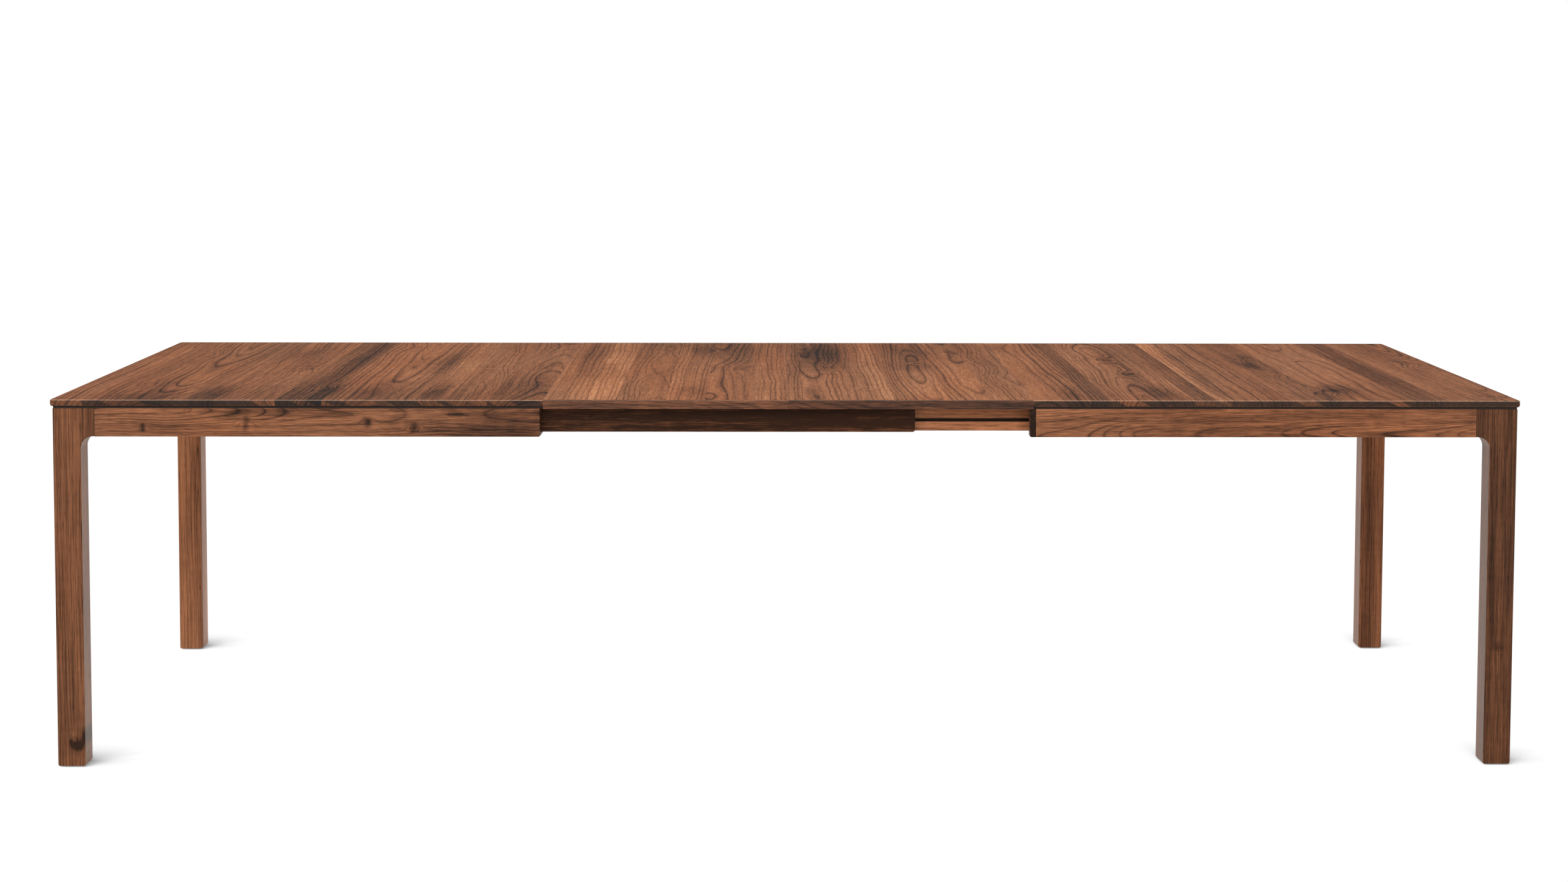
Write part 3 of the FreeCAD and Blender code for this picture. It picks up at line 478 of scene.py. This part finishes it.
def staves(rows, left, spacing):
    """The cuts of a glued-up top, stave by stave from its left edge on. Rows are as in STAVES."""
    total = sum(width for width, tone, pith in rows)

    def cut_of(graph, u):
        stops = []
        start = 0.0
        for index, (width, tone, pith) in enumerate(rows):
            centre = start + width / 2 + pith
            seed = (index + 0.5) / len(rows)
            stops.append((start / total, (0.5 + tone, squeezed(centre / total), seed)))
            start += width
        share = (u - left) / (total * MM)
        tone, pith, seed = graph.parts(graph.ramp(share, stops, "CONSTANT"))
        draw = seed * DRAWS_APART + left
        random = graph.node("TexWhiteNoise", {"W": draw}, "Color", noise_dimensions="1D")
        random_depth, random_slope, random_spacing = graph.parts(random)
        return Cut(
            pith=unsqueezed(pith) * (total * MM) + left,
            depth=random_depth * DEPTH_SPREAD + LEAST_DEPTH,
            slope=(random_slope - 0.5) * SLOPE_SPREAD,
            spacing=(random_spacing * SPACING_SPREAD + LEAST_SPACING) * spacing,
            tone=tone - 0.5,
            seed=seed,
        )

    return cut_of


# ---------------------------------------------------------------- other materials


def beech():
    """Beech: pale, with short fine flecks along the grain."""
    material, graph, shader = new_material("beech")
    x, y, z = graph.coordinates("Object")
    fleck = graph.noise(graph.join(z * 900.0, x * 90.0, y * 900.0), 2.0)
    shade = graph.noise(graph.join(z * 30.0, x * 6.0, y * 30.0), 2.0)
    colour = graph.mix(graph.between(fleck + shade, -0.3, 0.3), rgba(196, 158, 118), rgba(222, 190, 150))
    graph.connect(shader.inputs["Base Color"], colour)
    graph.connect(shader.inputs["Roughness"], 0.6 + fleck * 0.2)
    return material


def zinc_steel():
    """Bright zinc plating with a faint cloudy bloom."""
    material, graph, shader = new_material("zinc_steel")
    x, y, z = graph.coordinates("Object")
    bloom = graph.noise(graph.join(x * 160.0, y * 160.0, z * 160.0), 3.0)
    scratch = graph.noise(graph.join(x * 900.0, y * 60.0, z * 900.0), 2.0)
    colour = graph.mix(graph.between(bloom, -0.2, 0.2), rgba(176, 180, 186), rgba(206, 206, 204))
    graph.connect(shader.inputs["Base Color"], colour)
    graph.connect(shader.inputs["Roughness"], 0.32 + bloom * 0.25 + scratch * 0.15)
    shader.inputs["Metallic"].default_value = 1.0
    return material


def glide_plastic():
    """Moulded black nylon with a fine matt grain."""
    material, graph, shader = new_material("glide_plastic")
    x, y, z = graph.coordinates("Object")
    grain = graph.noise(graph.join(x * 2500.0, y * 2500.0, z * 2500.0), 2.0)
    colour = graph.mix(graph.between(grain, -0.3, 0.3), rgba(34, 33, 32), rgba(52, 50, 48))
    graph.connect(shader.inputs["Base Color"], colour)
    graph.connect(shader.inputs["Roughness"], 0.55 + grain * 0.2)
    graph.connect(shader.inputs["Normal"], graph.bump(grain, 0.3, 0.2 * MM))
    return material


# ---------------------------------------------------------------- finishes: the figure of each piece

# The staves of each top from its left edge on: width, tone, and how far the pith is right of the stave's
# middle. Widths and distances are in mm.
STAVES = {
    "left_top": [
        (65, 0.06, 60), (220, 0.04, 30), (45, -0.05, 200), (125, 0.06, -90), (95, -0.06, 80),
        (170, 0.08, 20), (80, 0.04, -160), (40, -0.04, 220), (45, 0.05, -60), (115, 0.03, 40),
    ],
    "leaf_1": [(145, 0.11, -260), (105, 0.07, 20), (80, 0.09, 190), (95, 0.10, -40), (75, 0.09, 150)],
    "leaf_2": [
        (30, 0.07, 120), (100, 0.08, -30), (85, 0.08, -200), (115, 0.09, 30), (85, 0.11, 20), (85, 0.08, 160),
    ],
    "right_top": [
        (115, 0.09, -40), (45, -0.04, 130), (115, 0.10, 20), (55, 0.05, -150), (45, -0.03, 90),
        (35, 0.11, 200), (120, 0.06, -30), (80, 0.00, 60), (165, 0.10, 25), (75, 0.00, -120), (150, 0.06, 50),
    ],
}

# Across and along are x and y on the tops, z and x on the aprons, and x and z on the legs
KNOTS = {
    "left_top": [
        (-1.35, 0.24, 0.025, 0.6), (-1.36, -0.30, 0.03, 0.6), (-1.08, 0.0, 0.03, 0.7),
        (-0.90, 0.40, 0.03, 0.7), (-0.68, 0.02, 0.03, 0.7), (-0.97, -0.36, 0.022, 0.9),
    ],
    "leaf_1": [(-0.10, 0.0, 0.035, 0.8), (-0.305, -0.12, 0.010, 0.8), (-0.175, 0.34, 0.016, 0.9)],
    "leaf_2": [
        (0.10, 0.03, 0.035, 0.8), (0.30, 0.10, 0.012, 0.7), (0.155, -0.34, 0.012, 0.8),
        (0.36, 0.20, 0.010, 0.7), (0.440, 0.20, 0.050, -1.1), (0.468, -0.16, 0.050, -1.3),
    ],
    "right_top": [
        (0.75, 0.16, 0.022, 0.9), (0.76, -0.09, 0.022, 0.9), (1.09, 0.22, 0.03, 0.8),
        (1.10, -0.06, 0.03, 0.7), (1.15, -0.34, 0.03, 0.9), (1.44, 0.12, 0.035, 0.8),
        (1.46, -0.44, 0.012, 1.1),
    ],
    "left_front_apron": [
        (0.703, -1.313, 0.006, 0.5), (0.712, -1.103, 0.008, 0.5), (0.714, -0.855, 0.007, 0.3),
        (0.704, -0.762, 0.007, 0.4), (0.730, -0.677, 0.006, 0.5),
    ],
    "right_front_apron": [(0.74, 0.90, 0.006, 0.5)],
    "left_front_leg": [(-1.452, 0.058, 0.013, 0.8)],
    "right_front_leg": [(1.463, 0.245, 0.009, 0.6)],
}

STAINS = {
    "left_top": [
        (-0.960, -0.40, 0.022, 0.13, 0.30), (-0.985, 0.12, 0.022, 0.36, 0.24),
        (-0.770, 0.10, 0.020, 0.24, 0.24), (-0.735, -0.40, 0.024, 0.12, 0.28),
        (-1.19, -0.42, 0.04, 0.10, 0.20), (-1.33, -0.46, 0.07, 0.07, 0.16),
        (-1.00, -0.50, 0.50, 0.28, 0.15), (-0.55, -0.30, 0.04, 0.30, 0.10),
        (-1.12, 0.30, 0.03, 0.20, 0.12),
    ],
    "leaf_1": [
        (-0.45, 0.15, 0.028, 0.38, 0.22), (-0.11, 0.28, 0.045, 0.24, 0.22),
        (-0.19, 0.34, 0.03, 0.10, 0.20), (-0.25, 0.50, 0.26, 0.20, 0.15),
    ],
    "leaf_2": [
        (0.085, 0.30, 0.066, 0.27, 0.40), (0.29, 0.34, 0.060, 0.22, 0.22),
        (0.29, 0.03, 0.060, 0.06, 0.14), (0.40, 0.45, 0.06, 0.20, 0.12),
    ],
    "right_top": [
        (0.76, 0.0, 0.025, 0.60, 0.20), (1.17, -0.33, 0.030, 0.09, 0.30),
        (1.12, -0.42, 0.014, 0.12, 0.24), (0.90, -0.20, 0.016, 0.40, 0.20),
        (1.31, 0.10, 0.03, 0.40, 0.16), (0.59, -0.40, 0.022, 0.13, 0.26),
        (0.78, -0.38, 0.026, 0.09, 0.22), (1.07, 0.05, 0.020, 0.06, 0.28),
        (1.00, -0.50, 0.50, 0.22, 0.09),
    ],
    "left_front_apron": [
        (0.703, -1.313, 0.009, 0.004, 0.32), (0.712, -1.103, 0.016, 0.006, 0.28),
        (0.714, -0.855, 0.006, 0.004, 0.20), (0.712, -0.857, 0.013, 0.008, 0.24),
        (0.704, -0.762, 0.010, 0.006, 0.28), (0.730, -0.677, 0.003, 0.022, 0.40),
        (0.735, -1.02, 0.007, 0.16, 0.16), (0.71, -0.56, 0.030, 0.15, 0.24),
        (0.70, -0.64, 0.006, 0.12, 0.14),
    ],
    "left_front_leg": [
        (-1.455, 0.044, 0.012, 0.008, 0.55), (-1.441, 0.064, 0.004, 0.014, 0.55),
        (-1.467, 0.053, 0.004, 0.006, 0.40),
    ],
    "right_front_leg": [(1.449, 0.50, 0.007, 0.26, 0.16)],
    "right_back_leg": [(1.456, 0.40, 0.013, 0.50, 0.20)],
}

# Each top's ring spacing, strength of its ring lines, and the noise over which its end grain is sapwood
TOPS = {
    "left_top": (0.0085, 1.0, 0.0),
    "leaf_1": (0.010, 0.95, 0.05),
    "leaf_2": (0.010, 1.05, 0.05),
    "right_top": (0.0085, 1.1, 0.08),
}

# How far up from a half top's underside the rebate's line of painted shade runs, and how far it fades above
REBATE_SHADE = 5.4 * MM
REBATE_FADE = 0.4 * MM

BAND_TONES = {
    "leaf_1_front_band": -0.18,
    "leaf_2_front_band": -0.31,
    "leaf_1_back_band": -0.06,
    "leaf_2_back_band": -0.10,
}

# Each apron's pith, from the apron's middle, and the depth, slope, ring spacing, tone and seed of its cut
APRONS = {
    "left_front_apron": (0.02, 0.05, 0.012, 0.0042, -0.07, 0.11),
    "right_front_apron": (-0.022, 0.09, -0.035, 0.0036, -0.10, 0.54),
    "left_back_apron": (0.03, 0.04, -0.02, 0.0055, 0.0, 0.37),
    "right_back_apron": (-0.03, 0.05, 0.02, 0.006, -0.02, 0.50),
    "left_end_apron": (0.01, 0.04, 0.03, 0.0055, 0.0, 0.63),
    "right_end_apron": (-0.02, 0.05, -0.03, 0.0055, -0.02, 0.76),
}

# Each leg's pith, from the leg's middle, and its tone
LEGS = {
    "left_front_leg": (0.09, -0.25),
    "left_back_leg": (0.03, -0.03),
    "right_front_leg": (-0.08, -0.32),
    "right_back_leg": (-0.10, -0.13),
}

# How far up from a rail's underside the groove's painted shade runs from and to, and how far it fades up the
# lip
GROOVE_FROM = 19.6 * MM
GROOVE_TO = 23.4 * MM
GROOVE_FADE = 7 * MM


# ---------------------------------------------------------------- finishes


def wear(node, material):
    """Puts a material in every slot of a CAD node."""
    for slot in nodes[node].material_slots:
        slot.material = material


def dress(node, grain, level, cut_of, look, kind="walnut"):
    """Puts walnut of a node's own on it."""
    knots = KNOTS.get(node, ())
    stains = STAINS.get(node, ())
    wear(node, walnut(f"{kind}_{node}", grain, level, cut_of, look, knots, stains))


def middle(node):
    """The middle of a node's box."""
    low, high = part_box(node)
    return (low + high) / 2


def dress_tops():
    for node, (spacing, rings, sapwood_from) in TOPS.items():
        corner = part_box(node)[0]
        # Tops get a painted highlight on their rounded upper edges
        look = Look(rings=rings, streaks=0.6, ragged_knots=0.4, sapwood_from=sapwood_from, painted_edge_highlight=True)
        # Half tops get painted shade in the rebate under their edge
        if node.endswith("top"):
            look.shade = (corner.z, corner.z + REBATE_SHADE, REBATE_FADE)
        dress(node, "Y", TABLE_TOP, staves(STAVES[node], corner.x, spacing), look)


def dress_bands():
    # Bands get a painted highlight on their rounded upper edges
    look = Look(rings=0.5, fineness=2.0, painted_edge_highlight=True)
    for index, (node, tone) in enumerate(BAND_TONES.items()):
        centre = middle(node)
        seed = 0.3 + index * 0.17
        cut = board(centre.z - 0.02, depth=0.05, slope=0.01, spacing=0.004, tone=tone, seed=seed)
        dress(node, "X", centre.y, cut, look)


def dress_aprons():
    look = Look(rings=0.85, fineness=1.8, ragged_knots=0.6, gloss=0.12)
    for node, (aside, depth, slope, spacing, tone, seed) in APRONS.items():
        centre = middle(node)
        if "end" in node:
            cut = board(centre.x + aside, depth, slope, spacing, tone, seed)
            dress(node, "Y", centre.z, cut, look)
        else:
            cut = board(centre.z + aside, depth, slope, spacing, tone, seed)
            dress(node, "X", centre.y, cut, look)


def dress_legs():
    look = Look(rings=0.65, streaks=0.65, fineness=1.8, fibre="long_fibre", gloss=0.08, glancing_gloss=0.9)
    for index, (node, (aside, tone)) in enumerate(LEGS.items()):
        centre = middle(node)
        seed = 0.21 + index * 0.19
        cut = board(centre.x + aside, depth=0.06, slope=0.004, spacing=0.0036, tone=tone, seed=seed)
        dress(node, "Z", centre.y, cut, look)


def dress_cross_rails():
    look = Look(end_light=0.17, gloss=0.1)
    for side in ("left", "right"):
        for index, kind in enumerate(("inner", "outer")):
            node = f"{side}_{kind}_cross_rail"
            centre = middle(node)
            seed = 0.4 + index * 0.2
            cut = board(centre.x + 0.05, depth=0.04, slope=0.01, spacing=0.004, tone=-0.22, seed=seed)
            dress(node, "Y", centre.z, cut, look)


def dress_braces():
    for side in ("left", "right"):
        for end in ("front", "back"):
            node = f"{side}_{end}_corner_brace"
            centre = middle(node)
            cut = board(centre.z + 0.03, depth=0.05, slope=0.02, spacing=0.005, tone=-0.05, seed=0.6)
            dress(node, "X", centre.y, cut, Look())


def dress_runner(node, seed):
    centre = middle(node)
    cut = board(centre.z + 0.05, depth=0.03, slope=0.01, spacing=0.004, tone=-0.44, seed=seed)
    dress(node, "X", centre.y, cut, Look(rings=0.4, gloss=0.05), kind="dark")


def dress_rail(node, seed):
    centre = middle(node)
    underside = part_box(node)[0].z
    # Painted shade in the groove, fading up its rounded lip
    groove = (underside + GROOVE_FROM, underside + GROOVE_TO, GROOVE_FADE)
    cut = board(centre.z - 0.06, depth=0.03, slope=0.02, spacing=0.005, tone=0.10, seed=seed)
    dress(node, "X", centre.y, cut, Look(rings=0.5, fineness=1.8, shade=groove, gloss=0.1))


def dress_slides():
    for end, seed in (("front", 0.35), ("back", 0.75)):
        dress_runner(f"{end}_runner", seed)
        dress_rail(f"{end}_rail", seed + 0.1)
    wear("rail_stops", nodes["front_rail"].material_slots[0].material)


def dress_small_parts():
    pale_wood = beech()
    steel = zinc_steel()
    material_of = {
        "dowels": pale_wood,
        "tongue": pale_wood,
        "screws": steel,
        "bolts": steel,
        "nuts": steel,
        "brackets": steel,
        "glides": glide_plastic(),
    }
    for node in nodes:
        for word, material in material_of.items():
            if word in node:
                wear(node, material)


# ---------------------------------------------------------------- studio


def floor_white():
    """White that shines by itself, with painted shadow where something stands in the way of the light."""
    material, graph, shader = new_material("floor")
    toward_light = graph.join(*Vector((-0.50, -0.80, 0.30)).normalized())
    open_sky = graph.node("AmbientOcclusion", {"Distance": 0.15, "Normal": toward_light}, "AO", samples=8)
    brightness = graph.curve(graph.between(open_sky, 0.45, 0.92), [(0.0, 0.25), (1.0, 1.02)])
    shader.inputs["Base Color"].default_value = (0.0, 0.0, 0.0, 1.0)
    shader.inputs["Roughness"].default_value = 0.9
    shader.inputs["Specular IOR Level"].default_value = 0.0
    shader.inputs["Emission Color"].default_value = (1.0, 1.0, 1.0, 1.0)
    graph.connect(shader.inputs["Emission Strength"], brightness)
    return material


def make_floor():
    """A white floor as bright as the background, with a painted soft shadow behind and to the right of each
    foot.
    """
    reach = 40.0
    corners = [(-reach, -reach, 0), (reach, -reach, 0), (reach, reach, 0), (-reach, reach, 0)]
    mesh = bpy.data.meshes.new("floor")
    mesh.from_pydata(corners, [], [(0, 1, 2, 3)])
    mesh.materials.append(floor_white())
    floor = bpy.data.objects.new("floor", mesh)
    bpy.context.scene.collection.objects.link(floor)


def make_world():
    """White at the horizon, overhead and at both sides, and dark above the horizon in front and behind."""
    world = bpy.data.worlds.new("studio")
    world.use_nodes = True
    bpy.context.scene.world = world
    graph = Graph(world.node_tree)
    x, y, z = graph.coordinates("Generated")
    sky = graph.curve(z, [(0.0, 1.0), (0.05, 1.0), (0.08, 0.02), (0.40, 0.06), (0.75, 0.8), (1.0, 0.9)])
    sides = graph.between(graph.math("ABSOLUTE", x), 0.45, 0.85) * 1.4
    background = world.node_tree.nodes["Background"]
    graph.connect(background.inputs["Color"], graph.math("MAXIMUM", sky, sides))
    background.inputs["Strength"].default_value = 1.0


def soft_light(name, place, target, width, power):
    """A square softbox at place that faces target."""
    light = bpy.data.lights.new(name, "AREA")
    light.size = width
    light.energy = power
    lamp = bpy.data.objects.new(name, light)
    lamp.location = place
    lamp.rotation_euler = (Vector(target) - Vector(place)).to_track_quat("-Z", "Y").to_euler()
    bpy.context.scene.collection.objects.link(lamp)


def make_lights():
    table = (0.0, 0.0, 0.5)
    soft_light("key", (-2.4, -4.6, 3.6), table, 2.4, 190.0)
    soft_light("front", (1.8, -6.0, 3.4), table, 3.0, 150.0)


def make_camera():
    """The view from in front of the table, a little from above."""
    camera_data = bpy.data.cameras.new("camera")
    camera_data.lens = 49.78
    camera_data.sensor_width = 36.0
    camera_data.shift_x = -0.0055
    camera_data.shift_y = -0.145
    camera = bpy.data.objects.new("camera", camera_data)
    camera.location = (-0.057, -4.887, 1.394)
    camera.rotation_euler = (math.radians(90 - 3.30), -0.0030, -0.0144)
    bpy.context.scene.collection.objects.link(camera)
    bpy.context.scene.camera = camera


bpy.context.scene.view_settings.view_transform = "Standard"
dress_tops()
dress_bands()
dress_aprons()
dress_legs()
dress_cross_rails()
dress_braces()
dress_slides()
dress_small_parts()
make_floor()
make_world()
make_lights()
make_camera()
